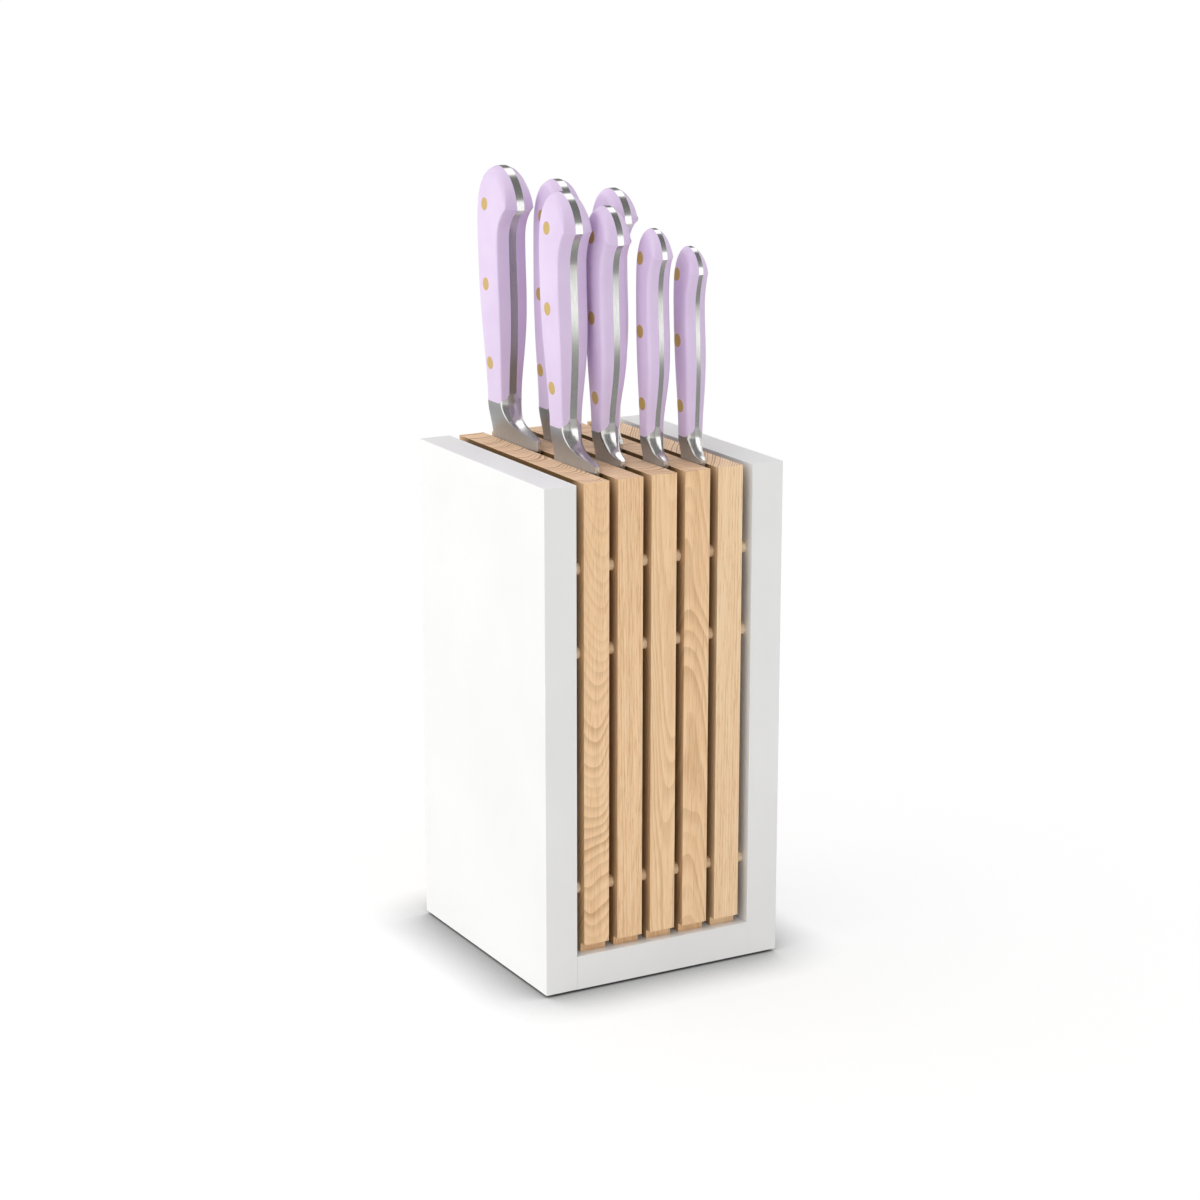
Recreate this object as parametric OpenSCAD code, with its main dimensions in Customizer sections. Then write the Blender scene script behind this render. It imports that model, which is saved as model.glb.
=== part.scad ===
// Knife block with seven forged knives, in millimetres.
// The origin is on the floor under the middle of the block, +Z is up and the front faces -Y.
// The block is a lacquered board frame, open at the front, back and top. It holds a row of wooden
// slats with a slot between each two. The knives stand in the slots with their edges to the front.

/* [Block frame] */
// Width of the block across both side panels
block_w = 130; // [120:1:150]
// Depth of the block from front to back
block_d = 133; // [130:1:150]
// Height of the frame, without its feet
block_h = 250; // [240:1:270]
// Thickness of the side panels and the base panel
board_t = 17; // [14:0.5:19]
// Diameter of the hidden dowels that join the base panel to the side panels
corner_dowel_d = 8; // [6:1:8]
// Length of those hidden dowels
corner_dowel_l = 24; // [18:1:26]

/* [Feet] */
// Height of a foot below the frame
foot_h = 1.5; // [1:0.5:4]
// Diameter of a foot
foot_d = 12; // [8:1:14]
// Depth of the recess that holds a foot
foot_recess = 1.5; // [1:0.5:3]
// Distance from the frame's front or back to a foot's middle
foot_inset = 14; // [10:1:30]

/* [Slats] */
// Number of slats
slat_n = 5; // [5:1:5]
// Width of the slot between two slats, and between an end slat and its panel
slot_w = 4.6; // [4.2:0.1:5]
// Distance from the frame's front or back to the slats
slat_recess = 1.5; // [0.5:0.5:3]
// Height of the rebate along a slat's lower front and back edges
rebate_h = 4.4; // [2:0.2:8]
// Depth of that rebate
rebate_d = 3.7; // [1:0.1:6]

/* [Through dowels] */
// Diameter of the dowels that thread the slats together
dowel_d = 6; // [5:0.5:6]
// Depth to which a dowel's end enters a side panel
dowel_socket = 8; // [4:1:11]
// Distance from the front of the slats to the front dowels
front_dowel_inset = 6.8; // [5:0.1:7]
// Distance from the back of the slats to the back dowels
back_dowel_inset = 5.6; // [5:0.1:6]
// Heights of the lower, middle and upper dowels above the frame's bottom
dowel_z = [49.5, 167, 208]; // [40:0.5:220]

/* [Base screws] */
// Shank diameter of the screws that hold the slats from below
screw_d = 3.5; // [3:0.5:4]
// Length of a screw
screw_l = 32; // [25:1:40]
// Diameter of a screw's countersunk head
screw_head_d = 7; // [6:0.5:8]
// Distance from the middle of the block to each row of screws
screw_row = 40; // [20:1:45]

/* [Knives] */
// Slot of each knife: chef, bread, carving, small chef, slicing, utility, paring
knife_slot = [1, 2, 3, 1, 2, 3, 4]; // [0:1:5]
// Distance of each knife's spine behind the middle of the block
spine_y = [55.5, 36.5, 14, -9, -17, -31, -36]; // [-40:0.5:57]
// Blade length below the heel
blade_l = [200, 200, 200, 160, 160, 140, 90]; // [80:5:205]
// Blade width at the heel
blade_w = [46.5, 29.5, 21, 41, 25, 20.5, 19]; // [18:0.5:48]
// Blade thickness at the spine
blade_t = [2.8, 2.4, 2.3, 2.5, 2.2, 2, 1.9]; // [1.6:0.1:3]
// Place of the tip across the blade: 0 at the spine, 1 at the edge
tip_place = [0.4, 0.78, 0.45, 0.4, 0.45, 0.45, 0.5]; // [0.2:0.01:0.9]
// Height of the bolster's upper end above the block
bolster_h = [19, 17, 16, 17.3, 14.5, 12.6, 11.8]; // [10:0.1:22]
// Height of the heel's corner above the block
heel_h = [5, 3.5, 3, 3.5, 2.8, 2.5, 2]; // [1.5:0.1:7]
// Handle width, spine to belly, where it meets the bolster
neck_w = [18.5, 15.5, 13.5, 16.8, 13.9, 11.4, 12.6]; // [10:0.1:22]
// Handle thickness where it meets the bolster
neck_t = [11.6, 11.2, 10.8, 10.6, 10.4, 9.4, 9]; // [8:0.1:14]
// Handle length from the bolster to the butt
handle_l = [116.5, 113, 111, 112, 108, 99.5, 91]; // [80:0.5:120]
// Greatest handle thickness
handle_t = [16, 15.6, 14.2, 15.8, 14.6, 12.2, 11.2]; // [10:0.1:16]
// Swell of the belly beyond its width at the bolster
belly_swell = [2.3, 4.5, 5, 1.9, 4.6, 3.8, 1]; // [0:0.1:6]
// Reach of the hooked butt beyond the belly at the bolster
hook_reach = [10, 12.5, 14.5, 6.3, 8.3, 6.5, 2.8]; // [2:0.1:16]
// Height of the butt, from the hook to the top
butt_h = [20, 18.5, 15.5, 18.3, 17.2, 13.6, 12.3]; // [10:0.1:22]
// Swell of the handle's back beyond the spine
back_swell = [6.5, 1.6, 0.8, 6.6, 4, 2.6, 4.6]; // [0:0.1:7]
// Thickness of the tang between the scales
tang_t = [4, 3.8, 3.6, 3.8, 3.2, 2.6, 2.3]; // [2:0.1:4.5]
// Diameter of a rivet
rivet_d = 6.4; // [5:0.1:7]
// Height of the lowest rivet above the bolster's upper end
rivet_low = [19.3, 18.8, 18.2, 18.7, 16.6, 15.9, 14.7]; // [14:0.1:20]
// Distance between two rivets
rivet_pitch = [39.2, 38.2, 38.3, 38.1, 38.4, 34.8, 31.5]; // [30:0.1:40]
// Distance of the middle rivet in front of the spine
rivet_front = [5.6, 7.9, 6.5, 5.4, 6.5, 4.7, 2.8]; // [2:0.1:8]
// Amount by which each rivet stands in front of the one above it
rivet_lean = [1.1, -2.2, -1.2, 1, 0.8, 0.7, 1.7]; // [-3:0.1:2]

/* [Hidden] */
$fn = 48;

KNIVES = ["chef_knife", "bread_knife", "carving_knife", "small_chef_knife",
          "slicing_knife", "utility_knife", "paring_knife"];
KNIFE_PARTS = ["blade", "left_scale", "right_scale", "rivets"];
SLATS = [for (i = [1:slat_n]) str("slat_", i)];
DOWEL_ROWS = ["lower", "middle", "upper"];
FRAME_NODES = ["left_panel", "right_panel", "base_panel", "corner_dowels", "slat_screws",
               "front_left_foot", "front_right_foot", "back_left_foot", "back_right_foot"];
DOWEL_NODES = [for (side = ["front", "back"], row = DOWEL_ROWS) str(side, "_", row, "_dowel")];
KNIFE_NODES = [for (knife = KNIVES, part = KNIFE_PARTS) str(knife, "_", part)];

WHITE = "#f4f4f2";
WOOD = "#ebc8a0";
LILAC = "#e6d6ee";
STEEL = "#b9bbbd";
BRASS = "#c3a258";
RUBBER = "#2c2a29";

// Frame heights: its bottom, its inner floor and its top
bottom_z = foot_h;
floor_z = bottom_z + board_t;
top_z = bottom_z + block_h;
inner_w = block_w - 2 * board_t;
panel_x = (block_w - board_t) / 2;

// Slats and slots, counted from the left
slat_t = (inner_w - (slat_n + 1) * slot_w) / slat_n;
slat_pitch = slat_t + slot_w;
slat_d = block_d - 2 * slat_recess;
function slot_x(i) = (i - slat_n / 2) * slat_pitch;
function slat_x(i) = slot_x(i) + slat_pitch / 2;

dowel_l = inner_w + 2 * dowel_socket;
front_dowel_y = -slat_d / 2 + front_dowel_inset;
back_dowel_y = slat_d / 2 - back_dowel_inset;

corner_dowel_y = [-50, -17, 17, 50];
corner_dowel_z = bottom_z + board_t / 2;
foot_y = block_d / 2 - foot_inset;
screw_head_h = (screw_head_d - screw_d) / 2;
screw_sink = 2;

// Steps in each curved stretch of an outline, and the overlap that joins solids of one piece
curve_steps = 8;
lap = 0.5;
far = 300;

// Places along a handle as shares of its length, and the apex's place across the butt
swell_at = 0.36;
waist_at = 0.7;
back_at = 0.8;
apex_at = 0.43;
waist_dip = 1.5;
// How the handle's curves flow: shares of its length, of the hook and of the butt
tangent_share = 0.13;
hook_flow = 0.45;
hook_dip = 2.5;
dome_rise = 0.35;
dome_flat = 0.56;
end_flat = 3;
end_slope = 1.2;
corner_r = 5;
// How the bolster's front sweeps from the handle to the heel
sweep_bulge = 1.5;
sweep_down = 0.78;
sweep_out = 0.6;
sweep_rise = 0.25;
heel_t = 2.4;
slot_gap = 0.15;
// How the blade narrows to its tip
spine_straight = 0.45;
spine_flow = 0.3;
tip_spread = 0.25;
tip_rise = 0.08;
edge_flow = 0.62;
bevel_at = 0.35;
edge_t = 0.3;

// One cubic Bezier stretch from a to d, without its last point
function curve(a, b, c, d) = [for (i = [0:curve_steps - 1]) let (t = i / curve_steps, s = 1 - t)
    s * s * s * a + 3 * s * s * t * b + 3 * s * t * t * c + t * t * t * d];

// A knife's own outline runs from the spine (u = 0) to the edge, with v up from the block's top.
// Handle outline of knife k, from the bolster up the belly, round the butt and down the back
function handle_outline(k) =
    let (w = neck_w[k], l = handle_l[k], v0 = bolster_h[k], reach = hook_reach[k],
         across = w + reach + back_swell[k],
         flow = [0, tangent_share * l],
         swell = [w + belly_swell[k], v0 + swell_at * l],
         waist = [w + belly_swell[k] - waist_dip, v0 + waist_at * l],
         hook = [w + reach, v0 + l - butt_h[k]],
         nose = hook + [0, end_flat],
         top = [apex_at * across - back_swell[k], v0 + l],
         dome = [dome_flat * (1 - apex_at) * across, 0],
         back = [-back_swell[k], v0 + back_at * l])
    concat([[w, v0]],
           curve([w, v0 + corner_r], [w, v0] + flow, swell - flow, swell),
           curve(swell, swell + flow, waist - flow, waist),
           curve(waist, waist + flow / 2, hook - [hook_flow * reach, hook_dip], hook),
           [hook],
           curve(nose, nose + [-end_slope, dome_rise * butt_h[k]], top + dome, top),
           curve(top, top - dome * apex_at / (1 - apex_at), back + flow, back),
           curve(back, back - 2 * flow, [0, v0] + 2 * flow, [0, v0]),
           [[0, v0]]);

// Blade outline of knife k, down the spine to the tip and back up the edge
function blade_outline(k) =
    let (w = blade_w[k], l = blade_l[k], tip = [tip_place[k] * w, -l],
         spine_end = [0, -spine_straight * l])
    concat([[0, lap]],
           curve(spine_end, spine_end - [0, spine_flow * l], tip + [-tip_spread * w, tip_rise * l], tip),
           curve(tip, tip + [tip_spread * w, tip_rise * l], [w, -edge_flow * l], [w, 0]),
           [[w, 0], [w, lap]]);

// Bolster outline of knife k: its front sweeps down and forward from the belly to the heel
function bolster_outline(k) =
    let (w = neck_w[k], v0 = bolster_h[k], heel = [blade_w[k], heel_h[k]],
         drop = v0 - heel_h[k],
         pull = [sweep_out * (w - heel[0]), sweep_rise * drop])
    concat([[0, 0], [0, v0 + corner_r], [w, v0 + corner_r]],
           curve([w, v0], [w + sweep_bulge, v0 - sweep_down * drop], heel + pull, heel),
           [heel, [heel[0], 0]]);

// Half thickness of knife k's handle, from the bolster to the butt, as seen from the front
function handle_front(k) =
    let (l = handle_l[k], flow = [0, tangent_share * l],
         neck = [neck_t[k] / 2, bolster_h[k]],
         middle = [handle_t[k] / 2, bolster_h[k] + (swell_at + waist_at) / 2 * l],
         butt = [handle_t[k] / 2 - end_slope, bolster_h[k] + l])
    concat(curve(neck, neck + flow, middle - 2 * flow, middle),
           curve(middle, middle + 2 * flow, butt + [end_slope, 0] - flow, butt),
           [butt]);

// Half thickness of knife k's bolster: it flares from the slot up to the handle
function bolster_front(k) =
    let (v0 = bolster_h[k], neck = [neck_t[k] / 2, v0],
         foot = [slot_w / 2 - slot_gap, 0])
    concat(curve(foot, foot + [0, v0 / 3], neck - [slot_gap, v0 / 3], neck),
           [neck, neck + [0, corner_r]]);

function mirrored(points) =
    concat(points, [for (i = [len(points) - 1:-1:0]) [-points[i][0], points[i][1]]]);

// Place of rivet i of knife k, as [u, v], counted from the lowest
function rivet_place(k, i) =
    [rivet_front[k] + (1 - i) * rivet_lean[k], bolster_h[k] + rivet_low[k] + i * rivet_pitch[k]];

// Stand a drawing of [u, v] in the slot of knife k, as a plate of thickness t
module side_plate(k, t) {
    translate([slot_x(knife_slot[k]), spine_y[k], top_z])
        rotate([90, 0, 90])
            linear_extrude(height = t, center = true)
                mirror([1, 0]) children();
}

// Stand a drawing of [x, v] across the slot of knife k, deep enough to cover the whole knife
module front_plate(k) {
    translate([slot_x(knife_slot[k]), 0, top_z])
        rotate([90, 0, 0])
            linear_extrude(height = far, center = true)
                children();
}

// Lay a drawing of [x, y] flat through the whole height of knife k, with its spine at y = 0
module plan_plate(k) {
    translate([slot_x(knife_slot[k]), spine_y[k], 0])
        linear_extrude(height = 2 * far)
            children();
}

// The handle's drawing, less the round lower corner where the bolster wraps the belly
module scale_drawing(k) {
    corner = [neck_w[k] - corner_r, bolster_h[k] + corner_r];
    difference() {
        polygon(handle_outline(k));
        translate([corner[0], corner[1] - 2 * corner_r])
            difference() {
                square(2 * corner_r);
                translate([0, 2 * corner_r]) circle(r = corner_r);
            }
    }
}

module rivet_holes(k, d) {
    for (i = [0:2])
        translate(rivet_place(k, i)) circle(d = d);
}

// side is -1 for the left scale and 1 for the right one
module scale_body(k, side) {
    inner = tang_t[k] / 2;
    outline = handle_front(k);
    intersection() {
        side_plate(k, handle_t[k] + lap)
            difference() {
                scale_drawing(k);
                rivet_holes(k, rivet_d);
            }
        front_plate(k)
            polygon([for (p = concat([[inner, outline[0][1]]], outline,
                                     [[inner, outline[len(outline) - 1][1]]])) [side * p[0], p[1]]]);
    }
}

// Blade, bolster and tang are one forging
module forging(k) {
    w = blade_w[k];
    spine = blade_t[k] / 2;
    neck = neck_t[k] / 2;
    difference() {
        union() {
            side_plate(k, tang_t[k])
                polygon(handle_outline(k));
            intersection() {
                side_plate(k, neck_t[k])
                    difference() {
                        polygon(bolster_outline(k));
                        scale_drawing(k);
                    }
                front_plate(k) polygon(mirrored(bolster_front(k)));
                plan_plate(k)
                    polygon(mirrored([[neck, lap], [neck, -neck_w[k]], [heel_t / 2, -w]]));
            }
            intersection() {
                side_plate(k, blade_t[k]) polygon(blade_outline(k));
                plan_plate(k)
                    polygon(mirrored([[spine, 0], [spine, -bevel_at * w], [edge_t / 2, -w]]));
            }
        }
        side_plate(k, far) rivet_holes(k, rivet_d);
    }
}

// The rivets end flush with the scales
module rivets(k) {
    intersection() {
        side_plate(k, far) rivet_holes(k, rivet_d);
        front_plate(k) polygon(mirrored(handle_front(k)));
    }
}

module panel_board(side) {
    translate([side * panel_x, 0, bottom_z + block_h / 2])
        cube([board_t, block_d, block_h], center = true);
}

module dowel_rod(y, z, d, l) {
    translate([0, y, z])
        rotate([0, 90, 0]) cylinder(d = d, h = l, center = true);
}

module through_dowels() {
    for (y = [front_dowel_y, back_dowel_y], z = dowel_z)
        dowel_rod(y, bottom_z + z, dowel_d, dowel_l);
}

module corner_dowel_rods() {
    for (side = [-1, 1], y = corner_dowel_y)
        translate([side * inner_w / 2, 0, 0])
            dowel_rod(y, corner_dowel_z, corner_dowel_d, corner_dowel_l);
}

module foot(side_x, side_y) {
    color(RUBBER)
        translate([side_x * panel_x, side_y * foot_y, 0])
            cylinder(d = foot_d, h = foot_h + foot_recess);
}

module side_panel(side) {
    color(WHITE)
        difference() {
            panel_board(side);
            through_dowels();
            corner_dowel_rods();
            for (y = [-foot_y, foot_y])
                translate([side * panel_x, y, 0]) cylinder(d = foot_d, h = foot_h + foot_recess);
        }
}

module screws() {
    for (i = [0:slat_n - 1], y = [-screw_row, screw_row])
        translate([slat_x(i), y, bottom_z + screw_sink]) {
            cylinder(d = screw_d, h = screw_l);
            cylinder(d1 = screw_head_d, d2 = screw_d, h = screw_head_h);
        }
}

module base_panel() {
    color(WHITE)
        difference() {
            translate([0, 0, bottom_z + board_t / 2])
                cube([inner_w, block_d, board_t], center = true);
            corner_dowel_rods();
            screws();
            for (i = [0:slat_n - 1], y = [-screw_row, screw_row])
                translate([slat_x(i), y, bottom_z - lap]) cylinder(d = screw_head_d, h = screw_sink + lap);
        }
}

module slat(i) {
    color(WOOD)
        difference() {
            translate([slat_x(i), 0, (floor_z + top_z) / 2])
                cube([slat_t, slat_d, top_z - floor_z], center = true);
            for (side = [-1, 1])
                translate([slat_x(i), side * slat_d / 2, floor_z])
                    cube([slat_t + lap, 2 * rebate_d, 2 * rebate_h], center = true);
            through_dowels();
            screws();
        }
}

module dowel(y, row) {
    color(WOOD) dowel_rod(y, bottom_z + dowel_z[row], dowel_d, dowel_l);
}

module knife_part(k, part) {
    if (part == "blade") color(STEEL) forging(k);
    if (part == "left_scale") color(LILAC) scale_body(k, -1);
    if (part == "right_scale") color(LILAC) scale_body(k, 1);
    if (part == "rivets") color(BRASS) rivets(k);
}

side_panel(-1);  // left_panel
side_panel(1);  // right_panel
base_panel();
color(WOOD) corner_dowel_rods();  // corner_dowels
color(STEEL) screws();  // slat_screws
foot(-1, -1);  // front_left_foot
foot(1, -1);  // front_right_foot
foot(-1, 1);  // back_left_foot
foot(1, 1);  // back_right_foot
for (i = [0:slat_n - 1])
    slat(i);
for (row = [0:2])
    dowel(front_dowel_y, row);
for (row = [0:2])
    dowel(back_dowel_y, row);
for (k = [0:len(KNIVES) - 1], part = KNIFE_PARTS)
    knife_part(k, part);
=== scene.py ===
import math
from collections import namedtuple

import bmesh
import bpy
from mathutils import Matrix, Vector
from mathutils.bvhtree import BVHTree


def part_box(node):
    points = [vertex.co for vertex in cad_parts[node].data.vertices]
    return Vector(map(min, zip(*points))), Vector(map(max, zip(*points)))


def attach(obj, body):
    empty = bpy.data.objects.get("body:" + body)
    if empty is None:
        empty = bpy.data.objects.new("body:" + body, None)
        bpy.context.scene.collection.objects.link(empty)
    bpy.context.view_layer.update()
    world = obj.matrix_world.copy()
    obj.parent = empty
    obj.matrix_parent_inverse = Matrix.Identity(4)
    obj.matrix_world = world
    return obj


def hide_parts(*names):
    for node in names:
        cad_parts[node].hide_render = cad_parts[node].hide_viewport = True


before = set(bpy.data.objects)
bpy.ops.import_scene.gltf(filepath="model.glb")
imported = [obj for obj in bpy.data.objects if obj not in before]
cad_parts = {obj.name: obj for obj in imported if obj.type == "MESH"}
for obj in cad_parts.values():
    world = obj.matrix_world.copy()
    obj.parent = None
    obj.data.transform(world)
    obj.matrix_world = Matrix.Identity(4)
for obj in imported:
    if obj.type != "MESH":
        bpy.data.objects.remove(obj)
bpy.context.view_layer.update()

# ---------------------------------------------------------------------------
# Sizes in millimetres, as in the CAD source; MM turns them into metres
# ---------------------------------------------------------------------------
MM = 0.001
# Points of one piece closer than this are one point, in a new piece and in a CAD one
SAME_PLACE, CAD_SAME_PLACE = 0.002 * MM, 0.005 * MM
# Keeps a division by a length of nothing harmless
TINY = 1e-9

# A knife's own sizes. All but the crease have the values of the CAD source:
#   slot, spine: its slot, counted from 0 at the left, and how far its spine is behind the block's middle
#   blade_l, blade_w, blade_t: the blade's length below the heel, width at the heel, thickness at the spine
#   tip_place: place of the tip across the blade, 0 at the spine and 1 at the edge
#   bolster_h, heel_h: heights above the block of the bolster's upper end and of the heel's corner
#   neck_w, neck_t: the handle's width and thickness where it meets the bolster
#   handle_l, handle_t: the handle's length from the bolster to the butt, and its greatest thickness
#   belly_swell, hook_reach: how far the belly and the hooked butt reach beyond the belly at the bolster
#   butt_h, back_swell: the butt's height from the hook to the top, and the back's swell beyond the spine
#   tang_t: thickness of the tang between the scales
#   rivet_low, rivet_pitch: height of the lowest rivet above the bolster, and distance between two rivets
#   rivet_front: distance of the middle rivet in front of the spine
#   rivet_lean: how far each rivet is in front of the one above it
#   crease: how far the rounding between the front facet and the side face reaches
Knife = namedtuple(
    "Knife",
    "name slot spine blade_l blade_w blade_t tip_place bolster_h heel_h neck_w neck_t handle_l handle_t "
    "belly_swell hook_reach butt_h back_swell tang_t rivet_low rivet_pitch rivet_front rivet_lean crease",
)
KNIVES = [
    Knife("chef_knife", 1, 55.5, 200, 46.5, 2.8, 0.4, 19, 5, 18.5, 11.6, 116.5, 16,
          2.3, 10, 20, 6.5, 4, 19.3, 39.2, 5.6, 1.1, 0.7),
    Knife("bread_knife", 2, 36.5, 200, 29.5, 2.4, 0.78, 17, 3.5, 15.5, 11.2, 113, 15.6,
          4.5, 12.5, 18.5, 1.6, 3.8, 18.8, 38.2, 7.9, -2.2, 0.9),
    Knife("carving_knife", 3, 14, 200, 21, 2.3, 0.45, 16, 3, 13.5, 10.8, 111, 14.2,
          5, 14.5, 15.5, 0.8, 3.6, 18.2, 38.3, 6.5, -1.2, 2.2),
    Knife("small_chef_knife", 1, -9, 160, 41, 2.5, 0.4, 17.3, 3.5, 16.8, 10.6, 112, 15.8,
          1.9, 6.3, 18.3, 6.6, 3.8, 18.7, 38.1, 5.4, 1, 0.7),
    Knife("slicing_knife", 2, -17, 160, 25, 2.2, 0.45, 14.5, 2.8, 13.9, 10.4, 108, 14.6,
          4.6, 8.3, 17.2, 4, 3.2, 16.6, 38.4, 6.5, 0.8, 2.2),
    Knife("utility_knife", 3, -31, 140, 20.5, 2, 0.45, 12.6, 2.5, 11.4, 9.4, 99.5, 12.2,
          3.8, 6.5, 13.6, 2.6, 2.6, 15.9, 34.8, 4.7, 0.7, 1.8),
    Knife("paring_knife", 4, -36, 90, 19, 1.9, 0.5, 11.8, 2, 12.6, 9, 91, 11.2,
          1, 2.8, 12.3, 4.6, 2.3, 14.7, 31.5, 2.8, 1.7, 1.8),
]
RIVETS = 3
RIVET_D = 6.4
RIVET_PROUD = 0.06

# How the outlines flow, as in the CAD source
SWELL_AT, WAIST_AT, BACK_AT, APEX_AT = 0.36, 0.7, 0.8, 0.43
WAIST_DIP = 1.5
TANGENT_SHARE = 0.13
HOOK_FLOW, HOOK_DIP = 0.45, 2.5
DOME_RISE, DOME_FLAT = 0.35, 0.56
END_FLAT, END_SLOPE = 3, 1.2
CORNER_R = 5
SWEEP_BULGE, SWEEP_DOWN, SWEEP_OUT, SWEEP_RISE = 1.5, 0.78, 0.6, 0.25
HEEL_T = 2.4
SLOT_W, SLOT_GAP = 4.6, 0.15
SPINE_STRAIGHT, SPINE_FLOW = 0.45, 0.3
TIP_SPREAD, TIP_RISE, EDGE_FLOW = 0.25, 0.08, 0.62
# The flat at the handle's nose leans back by this much, which the CAD's doesn't
END_LEAN = 0.45

# The handles' facets: how far one falls towards the side face, and its rounding at the dome and the back
FACET_DROP, DOME_DROP = 1.5, 2.0
BACK_CREASE, DOME_CREASE = 2.0, 3.0
HEEL_DROP, HEEL_CREASE = 0.4, 0.25
# The most of a facet that its rounding may take
CREASE_SHARE = 0.8
# The blade's edge, its taper towards the tip and the depth at which the bolster has run out into it
EDGE_HALF, MICRO_BEVEL, BEVEL_SHARE = 0.12, 0.8, 0.05
DISTAL_TAPER = 0.5
GRIND_POWER = 1.7
BOLSTER_RUNOUT = 4
# The grind's columns, as shares of the blade's width from the spine
BLADE_SHARES = (0.012, 0.12, 0.25, 0.4, 0.55, 0.7, 0.82, 0.92)
# The spine's flat, as a share of its thickness
SPINE_FLAT = 0.8
# How closely the blade's rows crowd towards its tip
TIP_CROWDING = 1.6
# How softly the bolster's side turns in towards the heel, and how much of the heel the flat front may take
HEEL_BLEND, FRONT_SHARE = 0.8, 0.6
# A pin's rings: share of its radius and how far the ring lies below the middle
PIN_RINGS = ((0, 0), (0.35, 0), (0.7, 0), (0.93, 0), (0.985, 0.02), (1, 0.09))
# The bread knife's teeth, and the depths between which the edge has them
TOOTHED = "bread_knife"
TOOTH_PITCH, TOOTH_DEPTH = 6.4, 1.3
TEETH_FROM, TEETH_TO = 10, 190

# Eased edges of the boards and slats
PANEL_EASE, BASE_EASE, SLAT_EASE, FOOT_EASE = 0.4, 0.15, 0.45, 0.5
EASE_SEGMENTS = 3
# An eased edge turns by more than EASE_ANGLE degrees, and faces within FLAT_ANGLE count as one flat
EASE_ANGLE, FLAT_ANGLE = 50, 1

# How many stretches the curves are drawn with
NECK_STEPS, FLOW_STEPS, HOOK_STEPS, NOSE_STEPS, DOME_STEPS = 5, 12, 14, 2, 20
BACK_STEPS, BACK_DOME_STEPS = 80, 160
THICKNESS_STEPS, SWEEP_STEPS = 16, 24
BLADE_STEPS, TOOTHED_STEPS = 60, 300
FACET_STEPS, FILLET_STEPS, SIDE_STEPS = 3, 5, 9
RUNOUT_STEPS, BOLSTER_STEPS = 10, 22
PIN_STEPS = 40
# Columns across a facet and its rounding
FACET_COLUMNS = FACET_STEPS + FILLET_STEPS + 1

# Heights above the block's top between which a painted dark reflection darkens the bolsters' sides
PAINTED_DARK_FROM, PAINTED_DARK_TO = 1, 16
# Edges sharper than this, in degrees, stay sharp
GRIP_SHARP, FORGING_SHARP, PIN_SHARP = 24, 30, 35
# The forging's materials, in the order of its slots
BLADE, POLISHED, TANG, BRUSHED = range(4)

slat_1, slat_2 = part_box("slat_1"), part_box("slat_2")
SLAT_PITCH = slat_2[0].x - slat_1[0].x
BLOCK_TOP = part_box("left_panel")[1].z
SLOTS = 6


# ---------------------------------------------------------------------------
# Curves and outlines: u runs from the spine to the edge, v up from the block's top
# ---------------------------------------------------------------------------
def lerp(a, b, t):
    return a + (b - a) * t


def smooth(t):
    t = min(1, max(0, t))
    return t * t * (3 - 2 * t)


def soft_min(a, b, width):
    """The smaller of a and b, rounded where they cross."""
    t = max(width - abs(a - b), 0) / width
    return min(a, b) - t * t * width / 4


def curve(a, b, c, d, steps):
    """A cubic Bezier stretch without its last point."""
    a, b, c, d = (Vector(p) for p in (a, b, c, d))
    found = []
    for i in range(steps):
        t = i / steps
        s = 1 - t
        found.append(a * s**3 + b * (3 * s * s * t) + c * (3 * s * t * t) + d * t**3)
    return found


def at_height(chain, v):
    """u of a chain of rising points at height v."""
    for p, q in zip(chain, chain[1:]):
        if v <= q.y:
            return lerp(p.x, q.x, (v - p.y) / max(q.y - p.y, TINY))
    return chain[-1].x


def belly_chain(k):
    """The handle's outline from the bolster up the belly and over the hook to the apex."""
    w, low, length = k.neck_w, k.bolster_h, k.handle_l
    across = w + k.hook_reach + k.back_swell
    flow = Vector((0, TANGENT_SHARE * length))
    swell = Vector((w + k.belly_swell, low + SWELL_AT * length))
    waist = Vector((w + k.belly_swell - WAIST_DIP, low + WAIST_AT * length))
    hook = Vector((w + k.hook_reach, low + length - k.butt_h))
    nose = hook + Vector((-END_LEAN, END_FLAT))
    apex = Vector((APEX_AT * across - k.back_swell, low + length))
    dome = Vector((DOME_FLAT * (1 - APEX_AT) * across, 0))
    corner = Vector((w, low + CORNER_R))
    under_hook = Vector((HOOK_FLOW * k.hook_reach, HOOK_DIP))
    over_nose = Vector((-END_SLOPE, DOME_RISE * k.butt_h))
    return (
        curve((w, low), (w, low + CORNER_R / 3), (w, low + CORNER_R * 2 / 3), corner, NECK_STEPS)
        + curve(corner, Vector((w, low)) + flow, swell - flow, swell, FLOW_STEPS)
        + curve(swell, swell + flow, waist - flow, waist, FLOW_STEPS)
        + curve(waist, waist + flow / 2, hook - under_hook, hook, HOOK_STEPS)
        + curve(hook, hook.lerp(nose, 1 / 3), hook.lerp(nose, 2 / 3), nose, NOSE_STEPS)
        + curve(nose, nose + over_nose, apex + dome, apex, DOME_STEPS)
        + [apex]
    )


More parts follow.
